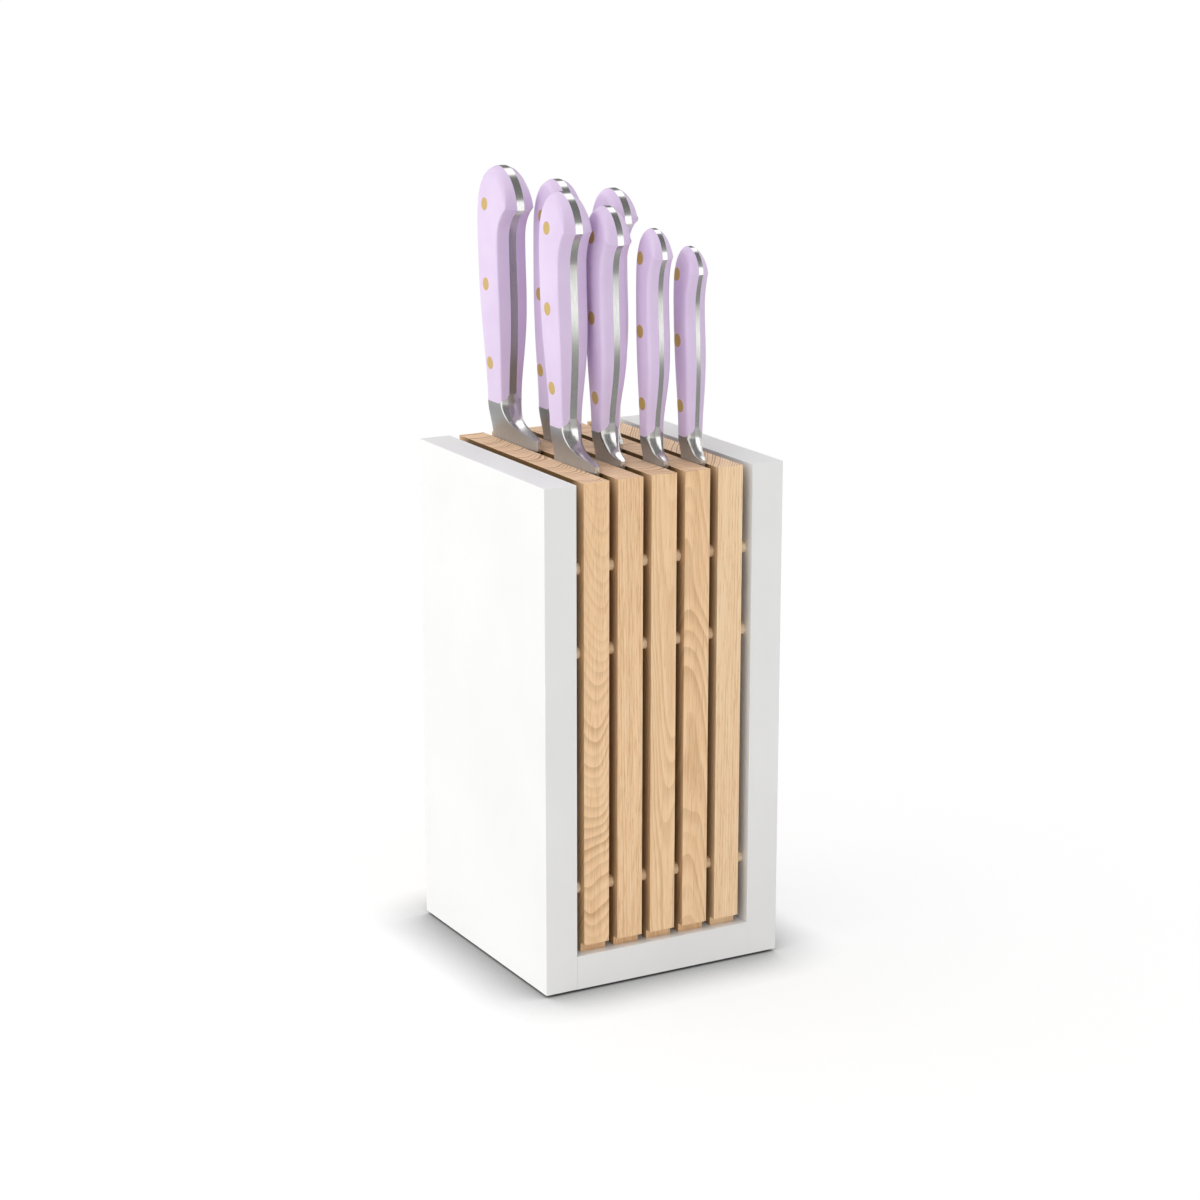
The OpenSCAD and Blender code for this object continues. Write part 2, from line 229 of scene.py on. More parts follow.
def back_chain(k):
    """The handle's outline from the bolster up the back to the apex, in fine steps."""
    length = k.handle_l
    across = k.neck_w + k.hook_reach + k.back_swell
    flow = Vector((0, TANGENT_SHARE * length))
    low = Vector((0, k.bolster_h))
    apex = Vector((APEX_AT * across - k.back_swell, k.bolster_h + length))
    dome = Vector((DOME_FLAT * APEX_AT * across, 0))
    back = Vector((-k.back_swell, k.bolster_h + BACK_AT * length))
    return (
        curve(low, low + 2 * flow, back - 2 * flow, back, BACK_STEPS)
        + curve(back, back + flow, apex - dome, apex, BACK_DOME_STEPS)
        + [apex]
    )


def half_thickness(k):
    """Chain of [half thickness, v] from the slot up the bolster and the handle."""
    low, length = k.bolster_h, k.handle_l
    flow = Vector((0, TANGENT_SHARE * length))
    foot = Vector((SLOT_W / 2 - SLOT_GAP, 0))
    neck = Vector((k.neck_t / 2, low))
    middle = Vector((k.handle_t / 2, low + (SWELL_AT + WAIST_AT) / 2 * length))
    butt = Vector((k.handle_t / 2 - END_SLOPE, low + length))
    return (
        curve(foot, foot + Vector((0, low / 3)), neck - Vector((SLOT_GAP, low / 3)), neck, THICKNESS_STEPS)
        + curve(neck, neck + flow, middle - 2 * flow, middle, THICKNESS_STEPS)
        + curve(middle, middle + 2 * flow, butt + Vector((END_SLOPE, 0)) - flow, butt, THICKNESS_STEPS)
        + [butt]
    )


def sweep_chain(k):
    """The bolster's front from the heel up to the handle."""
    neck = Vector((k.neck_w, k.bolster_h))
    heel = Vector((k.blade_w, k.heel_h))
    drop = neck.y - heel.y
    pull = Vector((SWEEP_OUT * (neck.x - heel.x), SWEEP_RISE * drop))
    bulge = Vector((SWEEP_BULGE, -SWEEP_DOWN * drop))
    down = curve(neck, neck + bulge, heel + pull, heel, SWEEP_STEPS) + [heel]
    return down[::-1]


def inward(chain, turn):
    """Inward miter vectors of a chain, so that a point plus d times its vector is the outline inset by d."""
    sharpest = 0.5
    found = []
    for i in range(len(chain)):
        edges = [(chain[j + 1] - chain[j]).normalized() for j in (i - 1, i) if 0 <= j < len(chain) - 1]
        normals = [Vector((-e.y, e.x)) * turn for e in edges]
        mean = sum(normals, Vector((0, 0))).normalized()
        found.append(mean / max(mean.dot(normals[0]), sharpest))
    return found


# ---------------------------------------------------------------------------
# Mesh code
# ---------------------------------------------------------------------------
def face_outwards(work):
    """Turns each closed shell of a mesh so that all its faces look outwards."""
    bmesh.ops.recalc_face_normals(work, faces=work.faces)
    left = set(work.faces)
    while left:
        shell, queue = [], [left.pop()]
        while queue:
            face = queue.pop()
            shell.append(face)
            near = {other for edge in face.edges for other in edge.link_faces} & left
            left -= near
            queue.extend(near)
        if sum(face.calc_center_median().dot(face.normal) * face.calc_area() for face in shell) < 0:
            bmesh.ops.reverse_faces(work, faces=shell)


class Shell:
    """Vertices and faces of one piece in a knife's own place: [x, u, v] in millimetres."""

    def __init__(self, knife):
        self.origin = Vector(((knife.slot - (SLOTS - 1) / 2) * SLAT_PITCH, knife.spine * MM, BLOCK_TOP))
        self.verts, self.faces, self.slots = [], [], []

    def grid(self, rows, slot=0):
        start, width = len(self.verts), len(rows[0])
        for row in rows:
            for x, u, v in row:
                self.verts.append(self.origin + Vector((x, -u, v)) * MM)
        for i in range(len(rows) - 1):
            for j in range(width - 1):
                a = start + i * width + j
                self.faces.append((a, a + 1, a + width + 1, a + width))
                self.slots.append(slot)

    def mirrored_grid(self, rows, slot=0):
        self.grid(rows, slot)
        self.grid([[(-x, u, v) for x, u, v in row] for row in rows], slot)

    def piece(self, name, materials, sharp):
        mesh = bpy.data.meshes.new(name)
        mesh.from_pydata(self.verts, [], self.faces)
        for face, slot in zip(mesh.polygons, self.slots):
            face.material_index = slot
        work = bmesh.new()
        work.from_mesh(mesh)
        bmesh.ops.remove_doubles(work, verts=work.verts, dist=SAME_PLACE)
        bmesh.ops.dissolve_degenerate(work, edges=work.edges, dist=SAME_PLACE / 2)
        face_outwards(work)
        work.to_mesh(mesh)
        work.free()
        for face in mesh.polygons:
            face.use_smooth = True
        mesh.set_sharp_from_angle(angle=math.radians(sharp))
        for material in materials:
            mesh.materials.append(material)
        made = bpy.data.objects.new(name, mesh)
        bpy.context.scene.collection.objects.link(made)
        return made


def edge_profile(tang, half, drop, crease):
    """[x, inset] from the tang's edge over the facet and round the crease to the side face."""
    corner = Vector((half, drop))
    start = Vector((tang, 0))
    along = (corner - start).normalized()
    longest = CREASE_SHARE * (corner - start).length
    fillet_from = corner - along * min(crease, longest)
    fillet_to = corner + Vector((0, crease))
    facet = [start.lerp(fillet_from, i / FACET_STEPS) for i in range(FACET_STEPS)]
    fillet = []
    for i in range(FILLET_STEPS + 1):
        t = i / FILLET_STEPS
        fillet.append(fillet_from * (1 - t) ** 2 + corner * (2 * t * (1 - t)) + fillet_to * t * t)
    return facet + fillet


def scale_foot(k, inset):
    """Height of the scale's lower end at that distance behind the belly: its front corner is round."""
    if inset >= CORNER_R:
        return k.bolster_h
    return k.bolster_h + CORNER_R - math.sqrt(CORNER_R**2 - (CORNER_R - inset) ** 2)


def handle_rows(k):
    """Rows of [x, u, v] across one side of the handle, from the belly's tang edge to the back's."""
    belly, thickness = belly_chain(k), half_thickness(k)
    fine_back = back_chain(k)
    back = [Vector((at_height(fine_back, p.y), p.y)) for p in belly]
    back[-1] = belly[-1].copy()
    belly_in, back_in = inward(belly, 1), inward(back, -1)
    belly_in[-1] = back_in[-1] = Vector((0, -1))
    low = k.bolster_h
    apex_v = low + k.handle_l
    hook_v = apex_v - k.butt_h
    tang = k.tang_t / 2
    rows = []
    for p, p_in, q, q_in in zip(belly, belly_in, back, back_in):
        dome = smooth((p.y - hook_v) / (apex_v - hook_v))
        rise = smooth((p.y - low) / (apex_v - low))
        half = at_height(thickness, p.y)
        front_drop, rear_drop = lerp(FACET_DROP, DOME_DROP, dome), lerp(FACET_DROP, DOME_DROP, rise)
        front = edge_profile(tang, half, front_drop, lerp(k.crease, DOME_CREASE, dome))
        rear = edge_profile(tang, half, rear_drop, lerp(BACK_CREASE, DOME_CREASE, rise))
        row = [(x, *(p + p_in * d)) for x, d in front]
        last = [(x, *(q + q_in * d)) for x, d in reversed(rear)]
        (_, u0, v0), (_, u1, v1) = row[-1], last[0]
        for i in range(1, SIDE_STEPS):
            t = i / SIDE_STEPS
            row.append((half, lerp(u0, u1, t), lerp(v0, v1, t)))
        rows.append(row + last)
    # The lowest rows start on the round corner instead of a straight end
    for row in rows:
        for j, (x, u, v) in enumerate(row):
            if v < low + CORNER_R:
                foot = scale_foot(k, max(0, k.neck_w - u))
                row[j] = (x, u, lerp(foot, low + CORNER_R, (v - low) / CORNER_R))
    return rows


def make_scale(k, side, rows, material):
    """One handle scale: its outside, its flat inner face and its lower end."""
    shell = Shell(k)
    inner = k.tang_t / 2
    shell.grid([[(side * x, u, v) for x, u, v in row] for row in rows])
    shell.grid([[(side * inner, u, v) for x, u, v in row] for row in rows])
    shell.grid([[(side * x, u, v) for x, u, v in rows[0]], [(side * inner, u, v) for x, u, v in rows[0]]])
    label = "left" if side < 0 else "right"
    return shell.piece(f"{k.name}_{label}_grip", [material], GRIP_SHARP)


def blade_half(k, share, v):
    """Half thickness of the blade at a share of its width from the spine."""
    spine = k.blade_t / 2 * (1 - DISTAL_TAPER * max(0, -v) / k.blade_l)
    return EDGE_HALF + (spine - EDGE_HALF) * (1 - min(1, max(0, share)) ** GRIND_POWER)


def blade_chains(k):
    """Spine and edge as chains of rising points from the tip to the bolster."""
    w, length = k.blade_w, k.blade_l
    tip = Vector((k.tip_place * w, -length))
    spine_end = Vector((0, -SPINE_STRAIGHT * length))
    to_spine = Vector((-TIP_SPREAD * w, TIP_RISE * length))
    to_edge = Vector((TIP_SPREAD * w, TIP_RISE * length))
    flow = Vector((0, SPINE_FLOW * length))
    spine = curve(tip, tip + to_spine, spine_end - flow, spine_end, BLADE_STEPS)
    edge = curve(tip, tip + to_edge, (w, -EDGE_FLOW * length), (w, 0), BLADE_STEPS)
    return spine + [spine_end, Vector((0, 0))], edge + [Vector((w, 0))]


def blade_heights(k):
    """Heights of the blade's rows: close together at the tip, and fine enough for teeth on a bread knife."""
    if k.name == TOOTHED:
        return [-k.blade_l * (1 - (i / TOOTHED_STEPS)) for i in range(TOOTHED_STEPS + 1)]
    return [-k.blade_l * (1 - (i / BLADE_STEPS) ** TIP_CROWDING) for i in range(BLADE_STEPS + 1)]


def tooth(k, v):
    """How far the edge is set back at height v by the bread knife's scallops."""
    if k.name != TOOTHED or not TEETH_FROM < -v < TEETH_TO:
        return 0
    return TOOTH_DEPTH * abs(math.sin(math.pi * v / TOOTH_PITCH))


def bolster_rows(k, handle):
    """Rows of [x, u, v] across one side of the bolster, from its front centre line to its back one."""
    sweep, thickness = sweep_chain(k), half_thickness(k)
    tops = [(0, k.neck_w, k.bolster_h + CORNER_R), *handle[0], (0, 0, k.bolster_h)]
    columns = len(tops)
    rows = []
    for i in range(RUNOUT_STEPS + BOLSTER_STEPS + 1):
        row = []
        for j, (_, _, top_v) in enumerate(tops):
            if i <= RUNOUT_STEPS:
                v = lerp(-BOLSTER_RUNOUT, k.heel_h, i / RUNOUT_STEPS)
            else:
                v = lerp(k.heel_h, top_v, (i - RUNOUT_STEPS) / BOLSTER_STEPS)
            front_u = k.blade_w if i < RUNOUT_STEPS or v < k.heel_h else at_height(sweep, v)
            if v >= k.bolster_h:
                front_u = k.neck_w
            reach = (front_u - k.neck_w) / (k.blade_w - k.neck_w)
            half = at_height(thickness, v) if v > 0 else SLOT_W / 2 - SLOT_GAP
            row.append(bolster_point(k, j, columns, v, front_u, reach, half))
        rows.append(row)
    return rows


def bolster_side(k, u, v, half):
    """Half thickness of the bolster's side face: it narrows towards the heel and runs out into the blade."""
    reach = min(1, max(0, (u - k.neck_w) / (k.blade_w - k.neck_w)))
    plan = lerp(k.neck_t / 2, HEEL_T / 2, reach)
    body = soft_min(half, plan, HEEL_BLEND) if u > k.neck_w else half
    out = smooth(-v / BOLSTER_RUNOUT)
    return lerp(body, blade_half(k, u / k.blade_w, v), out)


def bolster_point(k, j, columns, v, front_u, reach, half):
    """Point j of a bolster row: the front's profile, then the side face, then the back's profile."""
    drop, crease = lerp(FACET_DROP, HEEL_DROP, reach), lerp(k.crease, HEEL_CREASE, reach)
    front_half = bolster_side(k, front_u - drop, v, half)
    tang = min(k.tang_t / 2, front_half * FRONT_SHARE)
    if j == 0:
        return (0, front_u, v)
    if j == columns - 1:
        return (0, 0, v)
    if j <= FACET_COLUMNS:
        x, inset = edge_profile(tang, front_half, drop, crease)[j - 1]
        return (x, front_u - inset, v)
    back_half = bolster_side(k, 0, v, half)
    share = back_half / (k.neck_t / 2)
    rear = edge_profile(k.tang_t / 2 * share, back_half, FACET_DROP * share, BACK_CREASE * share)
    if j >= columns - 1 - FACET_COLUMNS:
        x, inset = rear[columns - 2 - j]
        return (x, inset, v)
    first, last = front_u - drop - crease, rear[-1][1]
    u = lerp(first, last, (j - FACET_COLUMNS) / SIDE_STEPS)
    return (bolster_side(k, u, v, half), u, v)


def make_forging(k, handle, materials):
    """Blade, bolster and full tang in one piece."""
    shell = Shell(k)
    spine, edge = blade_chains(k)
    rows = []
    for v in blade_heights(k):
        back, front = at_height(spine, v), at_height(edge, v) - tooth(k, v)
        width = max(front - back, 0)
        row = [(0, back, v), (blade_half(k, 0, v) * SPINE_FLAT, back, v)]
        row += [(blade_half(k, s, v), back + s * width, v) for s in BLADE_SHARES]
        bevel = min(MICRO_BEVEL, width * BEVEL_SHARE) / max(width, TINY)
        row += [(blade_half(k, 1 - bevel, v), back + (1 - bevel) * width, v), (0, front, v)]
        rows.append(row)
    rows[0] = [(0, u, v) for x, u, v in rows[0]]
    shell.mirrored_grid(rows, BLADE)
    shell.mirrored_grid([rows[-1], [(0, u, v) for x, u, v in rows[-1]]], BLADE)

    body = bolster_rows(k, handle)
    shell.mirrored_grid([row[: FACET_COLUMNS + 1] for row in body], POLISHED)
    shell.mirrored_grid([row[FACET_COLUMNS:] for row in body], BRUSHED)
    for end in (body[0], body[-1]):
        shell.mirrored_grid([end, [(0, u, v) for x, u, v in end]], POLISHED)

    # The tang's own strips, flush between the scales from the bolster's corner over the dome to the back
    corner, low = (k.neck_w, k.bolster_h + CORNER_R), (0, k.bolster_h)
    belly = [row[0][1:] for row in handle]
    back = [row[-1][1:] for row in handle]
    pairs = [(corner, low)] + [(corner if f[1] < corner[1] else f, b) for f, b in zip(belly, back)]
    half = k.tang_t / 2
    shell.grid([[(-half, *f), (half, *f)] for f, b in pairs], TANG)
    shell.grid([[(-half, *b), (half, *b)] for f, b in pairs], TANG)
    shell.mirrored_grid([[(half, *f), (half, *b)] for f, b in pairs], TANG)
    shell.grid([[(-half, *corner), (half, *corner)], [(-half, *low), (half, *low)]], TANG)
    return shell.piece(f"{k.name}_forging", materials, FORGING_SHARP)


def side_surface(rows):
    """A function that gives the distance of the handle's side from its middle plane at [u, v]."""
    width = len(rows[0])
    faces = []
    for i in range(len(rows) - 1):
        for a in range(i * width, (i + 1) * width - 1):
            faces.append((a, a + 1, a + width + 1, a + width))
    tree = BVHTree.FromPolygons([point for row in rows for point in row], faces)
    far_right = 100
    return lambda u, v: tree.ray_cast(Vector((far_right, u, v)), Vector((-1, 0, 0)))[0].x


def make_rivets(k, handle, material):
    """Three brass pins, ground flush with both side faces, with a fine eased rim."""
    shell = Shell(k)
    side = side_surface(handle)
    for i in range(RIVETS):
        u0 = k.rivet_front + (1 - i) * k.rivet_lean
        v0 = k.bolster_h + k.rivet_low + i * k.rivet_pitch
        rows = []
        for share, fall in PIN_RINGS:
            r = share * RIVET_D / 2
            row = []
            for j in range(PIN_STEPS + 1):
                a = 2 * math.pi * j / PIN_STEPS
                u, v = u0 + r * math.cos(a), v0 + r * math.sin(a)
                row.append((side(u, v) + RIVET_PROUD - fall, u, v))
            rows.append(row)
        rows.append([(0, u, v) for x, u, v in rows[-1]])
        shell.mirrored_grid(rows)
    return shell.piece(f"{k.name}_pins", [material], PIN_SHARP)


# ---------------------------------------------------------------------------
# Materials
# ---------------------------------------------------------------------------
def colour(r, g, b):
    """A display colour, 0 to 255, as the linear value that shaders take."""
    def linear(c):
        c /= 255
        return c / 12.92 if c <= 0.04045 else ((c + 0.055) / 1.055) ** 2.4
    return (linear(r), linear(g), linear(b), 1)


class Tree:
    """A short way to write a node tree: add() makes a node and fills its inputs with values or links."""

    def __init__(self, owner):
        owner.use_nodes = True
        self.tree = owner.node_tree
        self.tree.nodes.clear()

    def add(self, kind, inputs=(), **settings):
        made = self.tree.nodes.new(kind)
        for name, value in settings.items():
            setattr(made, name, value)
        for name, value in dict(inputs).items():
            if isinstance(value, bpy.types.NodeSocket):
                self.tree.links.new(value, made.inputs[name])
            else:
                made.inputs[name].default_value = value
        return made

    def math(self, operation, a, b=0.0):
        return self.add("ShaderNodeMath", {0: a, 1: b}, operation=operation).outputs[0]

    def dot(self, a, b):
        return self.add("ShaderNodeVectorMath", {0: a, 1: b}, operation="DOT_PRODUCT").outputs["Value"]

    def axes(self, vector):
        return self.add("ShaderNodeSeparateXYZ", {0: vector}).outputs

    def place(self, scale=(1, 1, 1), location=(0, 0, 0)):
        where = self.add("ShaderNodeTexCoord").outputs["Object"]
        inputs = {"Vector": where, "Scale": scale, "Location": location}
        return self.add("ShaderNodeMapping", inputs).outputs[0]

    def noise(self, where, scale=1.0, detail=2.0, rough=0.5):
        inputs = {"Vector": where, "Scale": scale, "Detail": detail, "Roughness": rough}
        return self.add("ShaderNodeTexNoise", inputs).outputs["Fac"]

    def range(self, value, low, high, to_low=0.0, to_high=1.0, kind="LINEAR"):
        inputs = {"Value": value, "From Min": low, "From Max": high, "To Min": to_low, "To Max": to_high}
        return self.add("ShaderNodeMapRange", inputs, interpolation_type=kind).outputs[0]

    def vary(self, noise, low=0.0, high=1.0):
        """A noise's usual values stretched from low to high."""
        return self.range(noise, 0.3, 0.7, low, high)

    def blend(self, share, a, b):
        return self.add("ShaderNodeMix", {0: share, 6: a, 7: b}, data_type="RGBA").outputs[2]

    def mix(self, share, a, b):
        return self.add("ShaderNodeMixShader", {0: share, 1: a.outputs[0], 2: b.outputs[0]})

    def bump(self, height, strength, distance):
        inputs = {"Height": height, "Strength": strength, "Distance": distance}
        return self.add("ShaderNodeBump", inputs).outputs[0]

    def finish(self, **inputs):
        shader = self.add("ShaderNodeBsdfPrincipled", {n.replace("_", " "): v for n, v in inputs.items()})
        self.add("ShaderNodeOutputMaterial", {"Surface": shader.outputs[0]})


def new_material(name):
    made = bpy.data.materials.new(name)
    return made, Tree(made)


# Refraction of the lacquer and of the plastic
IOR = 1.48
WHITE = (1, 1, 1, 1)


def lacquer():
    """White satin paint with a faint orange peel."""
    made, t = new_material("white_satin_lacquer")
    peel = t.noise(t.place(), 420, 2)
    cloud = t.noise(t.place(), 14, 3)
    tint = t.blend(t.range(cloud, 0.35, 0.65), colour(240, 240, 239), colour(237, 237, 236))
    sheen = t.vary(cloud, 0.36, 0.44)
    t.finish(Base_Color=tint, Roughness=sheen, Normal=t.bump(peel, 0.06, 0.2 * MM), IOR=IOR)
    return made


END_GRAIN, END_LINE = colour(246, 214, 186), colour(156, 106, 70)
# The second colour here is painted shade for the slats' sides within the slots
GLINT, SLOT_PAINTED_SHADE = colour(255, 236, 205), colour(112, 80, 34)
# Painted shade on the slats' sides within the slots: how far behind their front it is darkest, over what
# depth it grows so, and its shares there and at the front
SHADE_FROM, SHADE_DEPTH = 11.5 * MM, 10 * MM
SHADE_SHARES = (0.97, 0.3)
# Where within a growth ring its dark part starts and where it is darkest, as shares of the ring
RING_DARKENS, RING_DARKEST = 0.15, 0.92
# Half the height over which the rings grow fainter, and how much of them is left
CALM_HALF, CALM_LEFT = 30 * MM, 0.35
# How squarely a face looks along an axis where it starts to count as that side, and where it fully does
FACING = (0.7, 0.95)


def wood(name, light, dark, line, grow, ring, bend=0, middle=0, wobble=1, figure=0.5, fibre=0.5, shift=0,
         calm=10, inside=0.1):
    """Solid wood whose growth rings are stacked along grow and bowed by bend (per metre) about x = middle.

    Where grow points to the front the long faces show arches, where it points sideways they show straight
    lines. The end grain shows the same rings cut across. Above the height calm the rings are fainter, and
    nearer than inside to y = 0 the sides that face along x are darkened by painted shade, as within the
    slots.
    Lengths are in metres.
    """
    made, t = new_material(name)
    where = t.place(location=(-middle, 0, shift))
    wander = t.noise(t.place(scale=(25, 25, 14), location=(shift, 0, 0)), detail=1)
    across = t.math("ADD", t.axes(where)["X"], t.range(wander, 0.2, 0.8, -4 * MM, 4 * MM))
    bowed = t.math("MULTIPLY", t.math("MULTIPLY", across, across), bend)
    height = t.math("ADD", t.dot(where, grow), bowed)
    ripple = t.noise(t.place(scale=(40, 40, 11), location=(0, shift, 0)), detail=1)
    rings = t.math("ADD", t.math("DIVIDE", height, ring), t.math("MULTIPLY", ripple, wobble))

    # Each ring darkens slowly and ends sharply, and some years are stronger than others
    phase = t.math("FRACT", rings)
    rise = t.range(phase, RING_DARKENS, RING_DARKEST, kind="SMOOTHSTEP")
    late = t.math("SUBTRACT", rise, t.range(phase, RING_DARKEST, 1, kind="SMOOTHSTEP"))
    number = t.math("FLOOR", rings)
    year = t.add("ShaderNodeTexWhiteNoise", {"W": number}, noise_dimensions="1D").outputs["Value"]
    late = t.math("MULTIPLY", late, t.range(year, 0, 1, 0.2, 1))

    broad = t.noise(t.place(scale=(170, 170, 5), location=(shift, 0, 0)))
    strands = t.noise(t.place(scale=(2300, 2300, 100)), rough=0.6)
    pores = t.range(strands, 0.54, 0.7, 0, 0.85 * fibre, kind="SMOOTHSTEP")
    glints = t.range(strands, 0.48, 0.34, 0, 0.6 * fibre, kind="SMOOTHSTEP")

    normal = t.axes(t.add("ShaderNodeNewGeometry").outputs["Normal"])
    here = t.axes(t.place())
    shade = t.range(t.math("ABSOLUTE", here["Y"]), inside, inside + SHADE_DEPTH, *SHADE_SHARES)
    # Painted shade: sides that face along x, inside the slots, get darker the deeper they lie
    slot_shade_share = t.range(t.math("ABSOLUTE", normal["X"]), *FACING, 0, shade)
    end_grain = t.range(t.math("ABSOLUTE", normal["Z"]), *FACING)
    depth = t.range(here["Z"], calm - CALM_HALF, calm + CALM_HALF, figure, CALM_LEFT * figure)
    late = t.math("MULTIPLY", late, t.range(end_grain, 0, 1, depth, 1))

    body = t.blend(t.vary(broad), light, dark)
    body = t.blend(t.math("MULTIPLY", end_grain, 0.5), body, END_GRAIN)
    body = t.blend(late, body, t.blend(end_grain, line, END_LINE))
    body = t.blend(pores, body, line)
    body = t.blend(glints, body, GLINT)
    # Painted shade on the sides within the slots
    body = t.blend(slot_shade_share, body, SLOT_PAINTED_SHADE)
    relief = t.bump(t.math("ADD", strands, late), 0.15, 0.2 * MM)
    t.finish(Base_Color=body, Roughness=t.vary(strands, 0.5, 0.62), Normal=relief)
    return made


def lilac():
    """Moulded lilac plastic with a fine grain."""
    made, t = new_material("lilac_scale_plastic")
    cloud = t.noise(t.place(), 60, 2)
    grain = t.noise(t.place(), 1800, 2)
    tint = t.blend(t.vary(cloud), colour(221, 201, 231), colour(217, 196, 228))
    sheen = t.vary(cloud, 0.3, 0.38)
    t.finish(Base_Color=tint, Roughness=sheen, Normal=t.bump(grain, 0.05, 0.1 * MM), IOR=IOR)
    return made


def steel(name, tint, rough, lines, strength, swing, metal=1.0, painted_dark=None):
    """Ground steel: lines is how fine the grinding marks are along each axis. painted_dark is the height at
    which a painted dark reflection starts to darken it and the height at which it is darkest."""
    made, t = new_material(name)
    marks = t.noise(t.place(scale=lines), detail=3, rough=0.6)
    cloud = t.noise(t.place(), 45, 2)
    base = t.blend(t.vary(marks), colour(*tint), colour(*(c * 0.93 for c in tint)))
    # Painted dark reflection on the bolster's side, darker higher up
    if painted_dark:
        share = t.range(t.axes(t.place())["Z"], *painted_dark, 0, 0.85)
        base = t.blend(share, base, colour(*(c * 0.7 for c in tint)))
    ground = t.vary(marks, rough, rough + swing)
    spread = t.math("ADD", ground, t.range(cloud, 0.35, 0.65, 0, 0.03))
    t.finish(Base_Color=base, Metallic=metal, Roughness=spread, Normal=t.bump(marks, strength, 0.1 * MM))
    return made


def brass():
    """Brass pins ground flush with the scales."""
    made, t = new_material("rivet_brass_ground")
    marks = t.noise(t.place(scale=(1, 900, 5200)), detail=3, rough=0.6)
    base = t.blend(t.vary(marks), colour(202, 170, 94), colour(186, 153, 78))
    spread = t.vary(marks, 0.34, 0.46)
    t.finish(Base_Color=base, Metallic=0.25, Roughness=spread, Normal=t.bump(marks, 0.1, 0.1 * MM))
    return made


def rubber():
    """Black matt rubber."""
    made, t = new_material("foot_rubber_matt")
    grain = t.noise(t.place(), 1500, 3)
    base = t.blend(grain, colour(38, 37, 36), colour(52, 50, 49))
    spread = t.vary(grain, 0.75, 0.9)
    t.finish(Base_Color=base, Roughness=spread, Normal=t.bump(grain, 0.3, 0.2 * MM))
    return made


# ---------------------------------------------------------------------------
# The block: the CAD's own boards, slats, dowels, screws and feet with eased edges and finishes
# ---------------------------------------------------------------------------
def dress(node, material, ease=0):
    """Gives a CAD node its material and, where ease is more than 0, rounds its edges by that much."""
    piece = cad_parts[node]
    piece.data.materials.clear()
    piece.data.materials.append(material)
    if ease:
        weld = piece.modifiers.new("weld", "WELD")
        weld.merge_threshold = CAD_SAME_PLACE
        flat = piece.modifiers.new("flat", "DECIMATE")
        flat.decimate_type = "DISSOLVE"
        flat.angle_limit = math.radians(FLAT_ANGLE)
        bevel = piece.modifiers.new("ease", "BEVEL")
        bevel.width = ease * MM
        bevel.segments = EASE_SEGMENTS
        bevel.limit_method = "ANGLE"
        bevel.angle_limit = math.radians(EASE_ANGLE)
        bevel.loop_slide = False


# The slats' colours and growth: 1 arched and calm in its upper half, 2 and 5 straight, 3 and 4 in loops
SLAT_TINT = dict(light=colour(254, 214, 168), dark=colour(240, 197, 149), line=colour(192, 142, 92))
SLAT_WOODS = {
    "slat_1": dict(grow=(-0.15, 1, 0.5), ring=3 * MM, bend=-75, wobble=7, figure=0.66, fibre=0.4,
                   calm=140 * MM),
    "slat_2": dict(grow=(1.4, 1, 0.02), ring=2.1 * MM, wobble=2, figure=0.42, fibre=0.6, shift=0.5),
    "slat_3": dict(grow=(0.4, 1, 0.08), ring=2.4 * MM, bend=-75, wobble=5, figure=0.42, fibre=0.35, shift=0.9,
                   light=colour(255, 219, 173), dark=colour(245, 203, 156)),
    "slat_4": dict(grow=(0.45, 1, 0.19), ring=3.2 * MM, bend=52, wobble=8, figure=0.46, fibre=0.4, shift=1.4),
    "slat_5": dict(grow=(-1.5, 1, 0.025), ring=2.3 * MM, wobble=2, figure=0.27, fibre=0.5, shift=1.9,
                   light=colour(255, 224, 182), dark=colour(247, 209, 165)),
}
DOWEL_WOOD = dict(light=colour(252, 230, 198), dark=colour(240, 214, 176), line=colour(192, 142, 92),
                  grow=(0.02, 1, 0.3), ring=1.6 * MM, figure=0.2, fibre=0.2)


def build_block():
    white = lacquer()
    dress("left_panel", white, PANEL_EASE)
    dress("right_panel", white, PANEL_EASE)
    dress("base_panel", white, BASE_EASE)

    for node, growth in SLAT_WOODS.items():
        low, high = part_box(node)
        look = {**SLAT_TINT, **growth, "middle": (low.x + high.x) / 2, "inside": high.y - SHADE_FROM}
        dress(node, wood(f"{node}_wood", **look), SLAT_EASE)

    dowel_wood = wood("dowel_wood", **DOWEL_WOOD)
    for side in ("front", "back"):
        for row in ("lower", "middle", "upper"):
            dress(f"{side}_{row}_dowel", dowel_wood)
    dress("corner_dowels", dowel_wood)
    dress("slat_screws", steel("screw_zinc", (172, 172, 168), 0.35, (900, 900, 3000), 0.1, 0.1))
    black = rubber()
    for corner in ("front_left", "front_right", "back_left", "back_right"):
        dress(f"{corner}_foot", black, FOOT_EASE)


